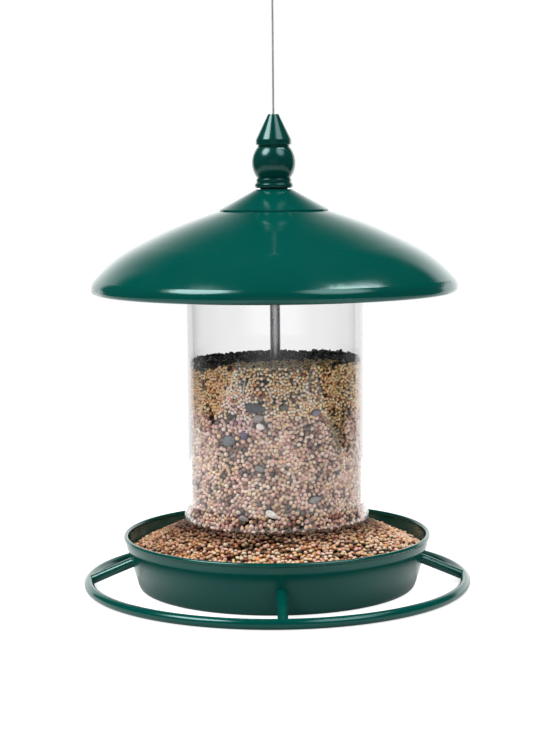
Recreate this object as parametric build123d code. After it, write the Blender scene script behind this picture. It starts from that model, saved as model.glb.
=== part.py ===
from build123d import *
import os
from math import atan2, cos, degrees, hypot, pi, radians, sin, sqrt, tan

# A hanging bird feeder: a round seed tray with a perch ring, a clear seed tube that stands on a
# carrier above it, and a domed roof with a turned finial that slides up a steel wire for filling.
# Lengths are millimetres and angles degrees. The origin is on the ground under the tray's centre.

# Clearances and sheet metal
sheet = 0.9                     # steel sheet of the tray and the roof
thread_clearance = 0.05         # radial, nuts and tapped holes
rod_clearance = 0.15            # radial, holes that the rod passes through
guide_clearance = 0.5           # radial, between the clear tube and the roof's guide ring
seed_clearance = 0.3            # between the seed and what holds it
overrun = 2.0                   # how far a cutting shape passes the face it cuts

# Tray
tray_floor_radius = 86.7        # where the wall's line meets the ground
tray_shoulder_height = 28.0     # the wall turns steeper here
tray_rim_height = 33.6
tray_lower_taper = 17.0         # from vertical, below the shoulder
tray_upper_taper = 4.0          # from vertical, above the shoulder
tray_heel_radius = 3.0
tray_shoulder_blend = 20.0
rim_bead_radius = 1.4
dish_height = 11.0              # underside of the raised middle of the floor
dish_top_radius = 14.0
dish_foot_radius = 21.0
drain_hole_radius = 1.5
drain_circle_radius = 62.0
drain_hole_count = 8

# Perch ring and its arms
perch_gap = 28.8                # between the edge of the tray's floor and the bar
perch_bar_radius = 3.15
perch_lift = 0.2                # the tray's floor stands lower than the ring by this
arm_count = 4
arm_turn = 1.5                  # the arms stand this far round from the front
arm_ring_end_radius = 2.9
arm_wall_end_half_width = 3.7
arm_wall_end_half_height = 3.1
arm_wall_end_height = 15.0      # middle of the arm where it meets the tray

# Rod and the hardware that clamps the tray to it
rod_radius = 3.175
rod_bore_radius = 1.6
rod_collar_radius = 4.8
rod_collar_height = 2.5
rod_tail = 1.0                  # how far the rod stands out below its nut
base_nut_flats = 10.0
base_nut_height = 4.0
base_washer_radius = 9.0
base_washer_thickness = 1.0
sleeve_wall = 1.6

# Clear seed tube and the carrier that it stands on
tube_radius = 55.4              # outside
tube_wall = 1.5
tube_foot_height = 43.6
tube_top_height = 224.6
flare_radius = 58.0             # outside of the flared foot
flare_height = 9.0
flare_band = 3.0                # upright part of the flared foot
flare_blend = 5.0
carrier_sheet = 1.2
carrier_hub_radius = 9.0
carrier_arm_width = 6.0
carrier_arm_count = 4
carrier_turn = 45.0             # the carrier's arms lie between the perch's arms
carrier_tab_height = 6.0
carrier_tab_gap = 3.5           # between the tabs and the clear tube, where seed lies

# Roof
roof_radius = 114.3
roof_drop = 39.4                # from the tube's top down to the lowest point of the curled edge
curl_radius = 3.0
curl_turn = 150.0               # from upright, under and back up
edge_radius = 8.5
edge_slope = 49.5               # the slopes are the dome's, where one arc gives way to the next
skirt_radius = 86.0
skirt_slope = 28.0
shoulder_radius = 290.0
shoulder_slope = 16.5
cap_sheet = 0.75
cap_rim_radius = 33.86
cap_slope = 28.5
cap_crown_radius = 11.2
cap_seat_gap = 0.05
guide_sheet = 1.0
guide_overlap = 10.0            # depth of the guide ring over the tube

# Finial and the hollow stud that clamps it to the roof
finial_washer_radius = 8.5
finial_washer_thickness = 0.8
finial_foot_radius = 11.85
finial_foot_height = 3.6
finial_foot_round = 1.2
finial_collar_radius = 10.9
finial_collar_height = 2.3
finial_collar_round = 0.8
finial_neck_radius = 10.0
finial_ball_radius = 13.5
finial_ball_half_height = 14.3
finial_groove_radius = 9.8
finial_groove_height = 1.2
finial_brim_radius = 11.0       # base of the cone
finial_brim_height = 3.2
finial_brim_round = 1.4
finial_cone_height = 15.5
finial_tip_radius = 3.3
finial_bore_radius = 1.0
stud_radius = 4.0
stud_bore_radius = 1.5
stud_depth = 14.0               # length of the stud inside the finial
stud_tail = 1.0                 # how far the stud stands out below its nut
stud_hole_clearance = 0.15
roof_washer_radius = 9.0
roof_washer_thickness = 1.2
roof_nut_flats = 13.0
roof_nut_height = 5.0

# Hanging wire
wire_radius = 0.6
wire_free_length = 75.0         # above the finial, up to the ferrule
stop_radius = 2.4
stop_height = 4.0
ferrule_height = 9.0
ferrule_half_thickness = 1.4
wire_spacing = 1.6              # between the two legs in the ferrule
wire_tail = 1.0
loop_neck = 2.0                 # straight part of the loop's legs above the ferrule
loop_half_width = 11.0
loop_height = 30.0
loop_side_height = 15.0
loop_side_bend = 9.0
loop_top_bend = 7.0

# Seed
seed_top_height = 143.6         # in the tube
dark_layer_thickness = 3.0
bed_foot_drop = 0.3             # from the tube's foot down to the bed
bed_rim_drop = 6.0              # from the tray's rim down to the bed at its wall
seed_half_length = 2.9          # of the larger single seeds in the mix, half sunk in it
seed_relief = 1.3               # how far those seeds stand out
seed_side_count = 6
seed_side_taper = 38
seed_spacing = 15.0


def turned(corners):
    """A solid of revolution about Z, from (radius, height, rounding) corners of its section."""
    points = [(radius, 0, height) for radius, height, _ in corners]
    outline = FilletPolyline(*points, radius=[rounding for _, _, rounding in corners], close=True)
    return revolve(make_face(outline), Axis.Z)


def drum(radius, low, high):
    """A plain cylinder on Z between two heights."""
    return Pos(0, 0, low) * Cylinder(radius, high - low, align=(Align.CENTER, Align.CENTER, Align.MIN))


def hollow_drum(radius, bore, low, high):
    """A cylinder on Z with a bore right through it."""
    return drum(radius, low, high) - drum(bore, low - overrun, high + overrun)


def hex_nut(flats, bore, low, high):
    """A hexagonal nut on Z between two heights."""
    blank = extrude(RegularPolygon(flats / 2, 6, major_radius=False), amount=high - low)
    return Pos(0, 0, low) * blank - drum(bore, low - overrun, high + overrun)


# The perch keeps its distance from the tray, and the roof its height over the clear tube
perch_radius = tray_floor_radius + perch_gap + perch_bar_radius
roof_rim_height = tube_top_height - roof_drop

# Heights of the stack on the rod, from the ground up
dish_top_height = dish_height + sheet
base_washer_low = dish_height - base_washer_thickness
base_nut_low = base_washer_low - base_nut_height
rod_low = base_nut_low - rod_tail
stop_low = rod_low - stop_height
carrier_low = tube_foot_height - carrier_sheet
rod_collar_top = tube_foot_height + rod_collar_height
rod_hole_radius = rod_radius + rod_clearance
tube_inner_radius = tube_radius - tube_wall


def tray_corners(inset):
    """Corners of the tray's wall, on a line that lies the given depth inside its outer face."""
    low, high = radians(tray_lower_taper), radians(tray_upper_taper)
    shoulder_radius_out = tray_floor_radius + tray_shoulder_height * tan(low)
    shift = inset * (1 / cos(low) - 1 / cos(high)) / (tan(low) - tan(high))
    shoulder = tray_shoulder_height + shift
    heel = tray_floor_radius + inset * tan(low) - inset / cos(low)
    shoulder_out = tray_floor_radius + shoulder * tan(low) - inset / cos(low)
    rim = shoulder_radius_out + (tray_rim_height - tray_shoulder_height) * tan(high) - inset / cos(high)
    return [
        (heel, inset, max(tray_heel_radius - inset, 0)),
        (shoulder_out, shoulder, tray_shoulder_blend - inset),
        (rim, tray_rim_height, 0),
    ]


def dish(grow, low):
    """The raised middle of the tray's floor, grown outwards by the given amount."""
    lean = atan2(dish_foot_radius - dish_top_radius, dish_height)
    top = dish_height + grow
    top_radius = dish_top_radius + grow / cos(lean) - grow * tan(lean)
    foot_radius = top_radius + (top - low) * tan(lean)
    return turned([(0, low, 0), (foot_radius, low, 0), (top_radius, top, 0), (0, top, 0)])


def tray_block(inset, low):
    """What the tray's wall encloses, inside the given depth of its outer face."""
    heel, shoulder, rim = tray_corners(inset)
    return turned([(0, low, 0), heel, shoulder, rim, (0, tray_rim_height, 0)])


def tray():
    """The stamped tray, with a raised middle, drain holes and a rolled rim."""
    middle = tray_corners(sheet / 2)[-1][0]
    bead_height = tray_rim_height - rim_bead_radius
    bead_middle = middle - rim_bead_radius * tan(radians(tray_upper_taper))
    pan = tray_block(0, 0) - (tray_block(sheet, sheet) - dish(sheet, 0)) - dish(0, 0)
    pan -= drum(middle, bead_height, tray_rim_height + overrun)
    pan += Pos(0, 0, bead_height) * Torus(bead_middle, rim_bead_radius)
    pan -= drum(rod_hole_radius, -overrun, dish_top_height + overrun)
    pan -= PolarLocations(drain_circle_radius, drain_hole_count) * Cylinder(drain_hole_radius, 4 * sheet)
    return pan


def perch_ring():
    """The round bar that the birds perch on."""
    return Pos(0, 0, perch_lift + perch_bar_radius) * Torus(perch_radius, perch_bar_radius)


def perch_arms():
    """The bars that carry the ring, flattened a little where they meet the tray."""
    ring_point = Vector(perch_radius, 0, perch_lift + perch_bar_radius)
    wall_radius = tray_floor_radius + arm_wall_end_height * tan(radians(tray_lower_taper))
    wall_point = Vector(wall_radius, 0, arm_wall_end_height)
    along = (wall_point - ring_point).normalized()
    inner_point = wall_point + along * arm_wall_end_half_width
    ring_section = Plane(ring_point, (0, 1, 0), along) * Circle(arm_ring_end_radius)
    wall_section = Plane(inner_point, (0, 1, 0), along) * Ellipse(
        arm_wall_end_half_width, arm_wall_end_half_height
    )
    arm = loft([ring_section, wall_section], ruled=True) - tray_block(0, 0) - perch_ring()
    first = arm_turn - 90
    turns = [first + index * 360 / arm_count for index in range(arm_count)]
    return Compound([Rot(0, 0, turn) * arm.solid() for turn in turns])


def base_washer():
    """The washer under the raised middle of the tray."""
    return hollow_drum(base_washer_radius, rod_hole_radius, base_washer_low, dish_height)


def base_nut():
    """The nut that pulls the rod's collar down on the carrier, the sleeve and the tray."""
    return hex_nut(base_nut_flats, rod_radius + thread_clearance, base_nut_low, base_washer_low)


def spacer_sleeve():
    """The sleeve that holds the carrier at its height above the tray."""
    return hollow_drum(rod_hole_radius + sleeve_wall, rod_hole_radius, dish_top_height, carrier_low)


def carrier_shape(grow):
    """The carrier's hub, arms and upturned tabs, grown by the given amount on every side."""
    low, high = carrier_low - grow, tube_foot_height + grow
    tab_outer = tube_inner_radius - carrier_tab_gap + grow
    tab_inner = tab_outer - carrier_sheet - 2 * grow
    half_width = carrier_arm_width / 2 + grow
    reach = flare_radius - tube_wall / 2 + grow
    bars = Pos(0, 0, low) * extrude(Rectangle(2 * reach, 2 * half_width), amount=high - low)
    tabs = hollow_drum(tab_outer, tab_inner, low, high + carrier_tab_height)
    strip = extrude(Rectangle(2 * reach, 2 * half_width), amount=tube_top_height)
    arms = bars + (tabs & strip)
    shape = drum(carrier_hub_radius + grow, low, high)
    for index in range(carrier_arm_count // 2):
        shape += Rot(0, 0, carrier_turn + index * 360 / carrier_arm_count) * arms
    return shape


def tube_carrier():
    """The cross of sheet steel that the clear tube stands on."""
    return carrier_shape(0) - drum(rod_hole_radius, 0, tube_foot_height + overrun)


def center_rod():
    """The hollow steel rod, with the collar that presses on the carrier."""
    rod = drum(rod_radius, rod_low, stud_low) + drum(rod_collar_radius, tube_foot_height, rod_collar_top)
    return rod - drum(rod_bore_radius, rod_low - overrun, stud_low + overrun)


def seed_tube():
    """The clear plastic tube with its flared foot."""
    inner, flare_inner = tube_inner_radius, flare_radius - tube_wall
    flare_low = tube_foot_height + flare_band
    flare_high = tube_foot_height + flare_height
    return turned(
        [
            (inner, tube_top_height, 0),
            (inner, flare_high, flare_blend + tube_wall),
            (flare_inner, flare_low, flare_blend),
            (flare_inner, tube_foot_height, tube_wall / 4),
            (flare_radius, tube_foot_height, tube_wall / 2),
            (flare_radius, flare_low, flare_blend),
            (tube_radius, flare_high, flare_blend),
            (tube_radius, tube_top_height, 0),
        ]
    )


# The dome is a chain of arcs: from the curled edge up to the middle, each starts where the last ends
edge_turn, skirt_turn, shoulder_turn = radians(edge_slope), radians(skirt_slope), radians(shoulder_slope)
widest_height = roof_rim_height + curl_radius
edge_end = (roof_radius - edge_radius * (1 - sin(edge_turn)), widest_height + edge_radius * cos(edge_turn))
skirt_end = (
    edge_end[0] - skirt_radius * (sin(edge_turn) - sin(skirt_turn)),
    edge_end[1] + skirt_radius * (cos(skirt_turn) - cos(edge_turn)),
)
dome_shoulder = (
    skirt_end[0] - shoulder_radius * (sin(skirt_turn) - sin(shoulder_turn)),
    skirt_end[1] + shoulder_radius * (cos(shoulder_turn) - cos(skirt_turn)),
)
crown_radius = dome_shoulder[0] / sin(shoulder_turn)
crown_height = dome_shoulder[1] + crown_radius * (1 - cos(shoulder_turn))


def dome_height(radius, depth):
    """Height of the dome at a radius inside its skirt, on a skin the given depth below the outer one."""
    if radius < (crown_radius - depth) * sin(shoulder_turn):
        bend = crown_radius - depth
        centre = (0, crown_height - crown_radius)
    else:
        bend = shoulder_radius - depth
        centre = (
            skirt_end[0] - shoulder_radius * sin(skirt_turn),
            skirt_end[1] - shoulder_radius * cos(skirt_turn),
        )
    return centre[1] + sqrt(bend**2 - (radius - centre[0]) ** 2)


def dome_skin(depth):
    """The dome's chain of arcs in section, from the middle to the end of the curl."""
    start = (0, 0, crown_height - depth)
    arcs = []
    for bend, slope_from, slope_to in (
        (crown_radius, 0, shoulder_slope),
        (shoulder_radius, shoulder_slope, skirt_slope),
        (skirt_radius, skirt_slope, edge_slope),
        (edge_radius, edge_slope, 90),
        (curl_radius, 90, 90 + curl_turn),
    ):
        begin, finish = radians(slope_from), radians(slope_to)
        middle = (begin + finish) / 2
        radius = bend - depth
        points = [
            (start[0] + radius * (sin(turn) - sin(begin)), 0, start[2] + radius * (cos(turn) - cos(begin)))
            for turn in (begin, middle, finish)
        ]
        arcs.append(ThreePointArc(*points))
        start = points[-1]
    return arcs


def roof_shell():
    """The spun steel dome with its edge curled under."""
    outer, inner = dome_skin(0), dome_skin(sheet)
    top = Line(inner[0] @ 0, outer[0] @ 0)
    end = Line(outer[-1] @ 1, inner[-1] @ 1)
    section = make_face([*outer, end, *inner, top])
    return revolve(section, Axis.Z) - drum(stud_hole_radius, roof_rim_height, crown_height + overrun)


# Heights of the stack that clamps the finial, from the dome outwards and downwards
stud_hole_radius = stud_radius + stud_hole_clearance
cap_rim_inner = cap_rim_radius - cap_sheet * tan(radians(cap_slope) / 2)
cap_rim_low = dome_height(cap_rim_inner, 0) + cap_seat_gap
cap_rise = (cap_rim_radius - cap_crown_radius) * tan(radians(cap_slope))
cap_top_height = cap_rim_low + cap_sheet + cap_rise
finial_low = cap_top_height + finial_washer_thickness
roof_washer_top = dome_height(roof_washer_radius, sheet)
roof_washer_low = roof_washer_top - roof_washer_thickness
roof_nut_low = roof_washer_low - roof_nut_height
stud_low = roof_nut_low - stud_tail
ball_share = finial_neck_radius / finial_ball_radius
ball_groove_share = finial_groove_radius / finial_ball_radius
neck_height = finial_low + finial_foot_height + finial_collar_height
ball_height = neck_height + finial_ball_half_height * sqrt(1 - ball_share**2)
groove_low = ball_height + finial_ball_half_height * sqrt(1 - ball_groove_share**2)
brim_low = groove_low + finial_groove_height
finial_top = brim_low + finial_brim_height + finial_cone_height


def roof_cap():
    """The cone of sheet steel that covers the middle of the dome, with a flat top for the finial."""
    crown_inner = cap_crown_radius - cap_sheet * tan(radians(cap_slope) / 2)
    return turned(
        [
            (stud_hole_radius, cap_top_height, 0),
            (cap_crown_radius, cap_top_height, cap_sheet),
            (cap_rim_radius, cap_rim_low + cap_sheet, 0),
            (cap_rim_radius, cap_rim_low, 0),
            (cap_rim_inner, cap_rim_low, 0),
            (crown_inner, cap_top_height - cap_sheet, 0),
            (stud_hole_radius, cap_top_height - cap_sheet, 0),
        ]
    )


def guide_ring():
    """The ring under the dome that fits over the top of the clear tube."""
    inner = tube_radius + guide_clearance
    outer = inner + guide_sheet
    low = tube_top_height - guide_overlap
    return turned(
        [
            (inner, low, 0),
            (outer, low, 0),
            (outer, dome_height(outer, sheet), 0),
            (inner, dome_height(inner, sheet), 0),
        ]
    )


def roof_washer():
    """The washer between the dome and the nut under it."""
    return hollow_drum(roof_washer_radius, stud_hole_radius, roof_washer_low, roof_washer_top)


def roof_nut():
    """The nut that clamps the roof, the cap and the finial together."""
    return hex_nut(roof_nut_flats, stud_radius + thread_clearance, roof_nut_low, roof_washer_low)


def hollow_stud():
    """The hollow threaded stud, which rests on the rod and lets the wire through."""
    return hollow_drum(stud_radius, stud_bore_radius, stud_low, finial_low + stud_depth)


def finial_washer():
    """The thin washer that shows as a dark line under the finial."""
    return hollow_drum(finial_washer_radius, stud_hole_radius, cap_top_height, finial_low)


def finial():
    """The turned finial: foot, collar, ball, groove and cone."""
    collar_low = finial_low + finial_foot_height
    foot_waist = finial_collar_radius - finial_collar_round / 2
    foot = turned(
        [
            (0, finial_low, 0),
            (finial_foot_radius, finial_low, finial_foot_round),
            (finial_foot_radius, collar_low - finial_foot_round, finial_foot_round),
            (foot_waist, collar_low, 0),
            (0, collar_low, 0),
        ]
    )
    collar = turned(
        [
            (0, collar_low, 0),
            (finial_collar_radius, collar_low, finial_collar_round / 2),
            (finial_collar_radius, neck_height, finial_collar_round),
            (0, neck_height, 0),
        ]
    )
    half_oval = Plane.XZ * EllipticalCenterArc(
        (0, ball_height), finial_ball_radius, finial_ball_half_height, -90, arc_size=180
    )
    ball = revolve(make_face([half_oval, Line(half_oval @ 1, half_oval @ 0)]), Axis.Z)
    ball &= drum(finial_ball_radius + overrun, neck_height, groove_low)
    brim_top = brim_low + finial_brim_height
    cone = turned(
        [
            (0, groove_low, 0),
            (finial_groove_radius, groove_low, 0),
            (finial_groove_radius, brim_low, 0),
            (finial_brim_radius, brim_low, finial_brim_round / 4),
            (finial_brim_radius, brim_top, finial_brim_round),
            (finial_tip_radius, finial_top, 0),
            (0, finial_top, 0),
        ]
    )
    body = foot + collar + ball + cone
    body -= drum(finial_bore_radius, finial_low, finial_top + overrun)
    return body - drum(stud_radius + thread_clearance, finial_low - overrun, finial_low + stud_depth)


def wire_stop():
    """The ferrule swaged on the wire's lower end, which carries the rod."""
    return hollow_drum(stop_radius, wire_radius, stop_low, rod_low)


def inner_wire():
    """The wire from its stop up through the rod, the stud and the finial."""
    return drum(wire_radius, stop_low, finial_top)


def hanging_wire():
    """The free wire above the finial."""
    return drum(wire_radius, finial_top, finial_top + wire_free_length)


ferrule_low = finial_top + wire_free_length


def wire_ferrule():
    """The flat ferrule that closes the hanging loop."""
    blank = SlotCenterToCenter(wire_spacing, 2 * ferrule_half_thickness)
    legs = Circle(wire_radius) + Pos(wire_spacing, 0) * Circle(wire_radius)
    section = Pos(wire_spacing / 2, 0) * blank - legs
    return Pos(0, 0, ferrule_low) * extrude(section, amount=ferrule_height)


def wire_loop():
    """The loop that the feeder hangs by, with both its legs in the ferrule."""
    base = ferrule_low + ferrule_height + loop_neck
    middle = wire_spacing / 2
    route = FilletPolyline(
        (0, 0, ferrule_low),
        (0, 0, base),
        (middle - loop_half_width, 0, base + loop_side_height),
        (middle, 0, base + loop_height),
        (middle + loop_half_width, 0, base + loop_side_height),
        (wire_spacing, 0, base),
        (wire_spacing, 0, ferrule_low - wire_tail),
        radius=[loop_side_bend / 2, loop_side_bend, loop_top_bend, loop_side_bend, loop_side_bend / 2],
    )
    return sweep(Plane((0, 0, ferrule_low), (1, 0, 0), (0, 0, 1)) * Circle(wire_radius), route)


def seed_room():
    """What stands inside the seed, with the seed's clearance round it."""
    room = carrier_shape(seed_clearance)
    room += drum(rod_radius + seed_clearance, 0, tube_top_height)
    room += drum(rod_collar_radius + seed_clearance, tube_foot_height, rod_collar_top + seed_clearance)
    room += drum(rod_hole_radius + sleeve_wall + seed_clearance, 0, tube_foot_height)
    return room


def single_seeds(low_ring, high_ring):
    """Faceted seeds spread evenly over a cone or cylinder on Z, from one (radius, height) ring to another."""
    (low_radius, low), (high_radius, high) = low_ring, high_ring
    slant = hypot(high_radius - low_radius, high - low)
    lean = degrees(atan2(high - low, low_radius - high_radius))
    count = round(pi * (low_radius + high_radius) * slant / seed_spacing**2)
    outline = RegularPolygon(seed_half_length, seed_side_count)
    seed = Pos(0, 0, -2 * seed_relief) * extrude(outline, amount=2 * seed_relief, taper=seed_side_taper)
    seeds = []
    for index in range(count):
        share = (index + 1 / 2) / count
        radius = sqrt(low_radius**2 + share * (high_radius**2 - low_radius**2))
        if high_radius != low_radius:
            share = (radius - low_radius) / (high_radius - low_radius)
        turn = (index + 1 / 2) * 180 * (3 - sqrt(5))
        seeds.append(Rot(0, 0, turn) * Pos(radius, 0, low + share * (high - low)) * Rot(0, lean, turn) * seed)
    return seeds


def seed_column():
    """The mixed seed in the tube, with single seeds that lie on its wall."""
    low = tube_foot_height + seed_clearance
    high = seed_top_height - dark_layer_thickness
    outside = tube_inner_radius - seed_clearance
    column = drum(outside - seed_relief, low, high)
    column += single_seeds((outside, low + seed_half_length), (outside, high - seed_half_length))
    return column - seed_room()


def dark_seed_layer():
    """The layer of small black seed on top of the mix."""
    radius = tube_inner_radius - seed_clearance
    bore = rod_radius + seed_clearance
    return hollow_drum(radius, bore, seed_top_height - dark_layer_thickness, seed_top_height)


def seed_bed():
    """The seed that has run out of the tube into the tray, with single seeds on its slope."""
    wall = tray_corners(sheet + seed_clearance)
    foot_radius = flare_radius + seed_clearance
    bed_foot_height = tube_foot_height - bed_foot_drop
    bed_wall_height = tray_rim_height - bed_rim_drop
    bed = turned(
        [
            (0, wall[0][1], 0),
            (wall[2][0] + overrun, wall[0][1], 0),
            (wall[2][0] + overrun, bed_wall_height - seed_relief, 0),
            (wall[1][0], bed_wall_height - seed_relief, 0),
            (foot_radius, bed_foot_height - seed_relief, 0),
            (foot_radius, bed_foot_height, 0),
            (0, bed_foot_height, 0),
        ]
    )
    bed &= tray_block(sheet + seed_clearance, sheet + seed_clearance) + drum(
        wall[2][0], tray_rim_height - overrun, bed_foot_height + overrun
    )
    fall = (bed_foot_height - bed_wall_height) / (wall[1][0] - foot_radius)
    inner, outer = foot_radius + seed_half_length, wall[1][0] - 2 * seed_half_length
    bed += single_seeds(
        (outer, bed_foot_height - fall * (outer - foot_radius)),
        (inner, bed_foot_height - fall * (inner - foot_radius)),
    )
    return bed - dish(sheet + seed_clearance, 0) - seed_room()


nodes = {
    "tray": tray,
    "perch_ring": perch_ring,
    "perch_arms": perch_arms,
    "base_washer": base_washer,
    "base_nut": base_nut,
    "spacer_sleeve": spacer_sleeve,
    "tube_carrier": tube_carrier,
    "center_rod": center_rod,
    "seed_tube": seed_tube,
    "seed_column": seed_column,
    "dark_seed_layer": dark_seed_layer,
    "seed_bed": seed_bed,
    "wire_stop": wire_stop,
    "inner_wire": inner_wire,
    "hanging_wire": hanging_wire,
    "wire_ferrule": wire_ferrule,
    "wire_loop": wire_loop,
    "roof_shell": roof_shell,
    "roof_cap": roof_cap,
    "guide_ring": guide_ring,
    "roof_washer": roof_washer,
    "roof_nut": roof_nut,
    "hollow_stud": hollow_stud,
    "finial_washer": finial_washer,
    "finial": finial,
}

os.makedirs("parts", exist_ok=True)
for name, make in nodes.items():
    export_step(make(), f"parts/{name}.step")
print(f"finial top {finial_top:.1f} mm, ferrule {ferrule_low:.1f} mm above the ground")
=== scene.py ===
from math import radians

import bpy
import numpy as np
from mathutils import Euler, Matrix, Vector


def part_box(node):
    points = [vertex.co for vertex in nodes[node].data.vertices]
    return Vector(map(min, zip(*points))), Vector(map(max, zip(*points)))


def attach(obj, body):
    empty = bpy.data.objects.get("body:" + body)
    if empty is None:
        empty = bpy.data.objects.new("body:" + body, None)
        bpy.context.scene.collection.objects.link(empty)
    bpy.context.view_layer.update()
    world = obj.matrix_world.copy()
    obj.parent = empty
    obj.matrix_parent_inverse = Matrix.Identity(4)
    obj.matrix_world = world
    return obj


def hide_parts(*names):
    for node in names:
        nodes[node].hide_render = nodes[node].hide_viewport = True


# A hanging bird feeder: green enamel roof, tray and perch, a clear tube full of seed, a steel rod and wire.
# Lengths in the dictionaries are millimetres unless a note says otherwise.

mm = 0.001
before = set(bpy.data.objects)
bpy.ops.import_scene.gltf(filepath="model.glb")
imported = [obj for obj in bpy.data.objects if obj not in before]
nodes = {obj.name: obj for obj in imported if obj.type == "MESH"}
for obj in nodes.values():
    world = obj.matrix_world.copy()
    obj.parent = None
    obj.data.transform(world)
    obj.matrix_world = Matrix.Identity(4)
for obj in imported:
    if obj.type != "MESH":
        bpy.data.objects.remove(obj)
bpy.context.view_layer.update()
print("frame loaded:", len(nodes), "nodes")

cameraPlace = {
    "side": -0.31, "distance": 1145.9, "height": 263.58, "pitchDown": 6.24, "roll": -0.5,
    "lens": 90.4, "clip": (0.05, 30),
}


def newObject(name, data):
    # an object in the scene
    made = bpy.data.objects.new(name, data)
    bpy.context.scene.collection.objects.link(made)
    return made


def makeCamera(place):
    # looks along +Y, pitched down, and turned a little about its own axis
    data = bpy.data.cameras.new("camera")
    data.lens = place["lens"]
    data.clip_start, data.clip_end = place["clip"]
    camera = newObject("camera", data)
    pitch = Euler((radians(90 - place["pitchDown"]), 0, 0)).to_matrix()
    camera.matrix_world = (pitch @ Matrix.Rotation(radians(place["roll"]), 3, "Z")).to_4x4()
    camera.location = (place["side"] * mm, -place["distance"] * mm, place["height"] * mm)
    bpy.context.scene.camera = camera


# each softbox hangs at a place and faces the feeder; its long side lies along the given direction
lamps = {
    "softboxLeft": {
        "place": (-1432, -748, 2042), "along": (0.4, -0.92, 0.0), "wide": 1330, "high": 1330, "radiance": 5.2,
    },
    "softboxRight": {
        "place": (1090, -145, 2313), "along": (0.755, 0.655, 0.0), "wide": 1430, "high": 150, "radiance": 16,
    },
}
aim = (0, 0, 190)


def makeLamp(name, lamp):
    # a round or oblong softbox; its power is radiance * pi * the area of the oblong that holds it
    data = bpy.data.lights.new(name, "AREA")
    data.shape = "DISK" if lamp["wide"] == lamp["high"] else "RECTANGLE"
    data.size = lamp["wide"] * mm
    data.size_y = lamp["high"] * mm
    data.energy = lamp["radiance"] * np.pi * data.size * data.size_y
    box = newObject(name, data)
    back = (Vector(lamp["place"]) - Vector(aim)).normalized()
    up = back.cross(Vector(lamp["along"])).normalized()
    facing = Matrix((up.cross(back), up, back)).transposed()
    box.matrix_world = Matrix.Translation(Vector(lamp["place"]) * mm) @ facing.to_4x4()


def join(source, target):
    # links an output to an input, or sets the input where the source is a plain value
    if isinstance(source, bpy.types.NodeSocket):
        target.id_data.links.new(target, source)
    else:
        target.default_value = source


def addNode(tree, kind, inputs=None, **settings):
    # one shader node with its properties set; inputs maps a socket's name or number to a value or an output
    node = tree.nodes.new(kind)
    for name, value in settings.items():
        setattr(node, name, value)
    for name, source in (inputs or {}).items():
        join(source, node.inputs[name])
    return node


def emptyTree(data, kind):
    # the cleared node tree of a material or world, and its output node
    data.use_nodes = True
    data.node_tree.nodes.clear()
    return data.node_tree, addNode(data.node_tree, kind)


def maths(operation, *sources):
    # the result of one sum, in the tree of its first source
    tree = sources[0].id_data
    return addNode(tree, "ShaderNodeMath", dict(enumerate(sources)), operation=operation).outputs[0]


def chained(operation, values):
    # the first value, combined with each of the others in turn
    total = values[0]
    for value in values[1:]:
        total = maths(operation, total, value)
    return total


def product(*values):
    # the values multiplied together
    return chained("MULTIPLY", values)


def added(*values):
    # the sum of the values
    return chained("ADD", values)


def larger(*values):
    # the largest of the values
    return chained("MAXIMUM", values)


def ramp(value, start, end, low=0.0, high=1.0):
    # a smooth step of the value, from low at the start to high at the end
    levels = {"Value": value, "From Min": start, "From Max": end, "To Min": low, "To Max": high}
    return addNode(value.id_data, "ShaderNodeMapRange", levels, interpolation_type="SMOOTHSTEP").outputs[0]


def axes(place):
    # the three parts of a place or direction
    return addNode(place.id_data, "ShaderNodeSeparateXYZ", {0: place}).outputs


def along(direction, axis):
    # how far a direction lies along an axis
    both = {0: direction, 1: axis}
    return addNode(direction.id_data, "ShaderNodeVectorMath", both, operation="DOT_PRODUCT").outputs["Value"]


def chosen(factor, first, second):
    # the first level where the factor is 0, and the second where it is 1
    levels = {"Factor": factor, "A": first, "B": second}
    return addNode(factor.id_data, "ShaderNodeMix", levels, data_type="FLOAT").outputs[0]


# the studio round the feeder: a white sheet behind it, which fades as it climbs and has a dark gap in its
# middle, dark sides, a little light by the camera and two bright patches; a pair says where each sets in
world = {
    "sheetLeft": 1.45, "sheetRight": 1.8, "sheetSpan": (-0.1, 0.5), "sheetBack": (0.0, 0.15),
    "fade": (0.15, 0.74), "leftSlant": (1, 0, -0.25), "leftEdge": (-0.74, -0.64),
    "rightSlant": (1, 0, 0.9), "rightEdge": (0.86, 1.0), "rightEnd": (0.76, 0.84),
    "gap": (0.06, 0.17), "gapLow": (0.35, 0.55), "dark": 0.03, "byCamera": 0.22,
    "cameraEdge": (-0.85, -0.99), "cameraHigh": (0.2, 0.5),
    "patches": [
        {"middle": (-0.58, -0.27, 0.77), "edge": (0.93, 0.985), "level": 6.5},
        {"middle": (0.5, -0.42, 0.75), "edge": (0.92, 0.985), "level": 5.0},
    ],
    # what rays through the clear tube see behind it and on the camera's side
    "throughSide": 0.52, "throughEdge": (0.02, 0.26), "throughFront": 1.0,
    "throughNear": (-0.62, -0.95), "throughHigh": (0.0, 0.12), "throughAbove": 0.1,
    "throughTurn": (0.1, 0.4),
    # the even light on matt surfaces
    "fillFront": 0.9, "fillBack": 2.1, "fillSpan": (-0.7, 0.7), "fillLow": 0.54, "fillHigh": 1.3,
}


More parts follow.
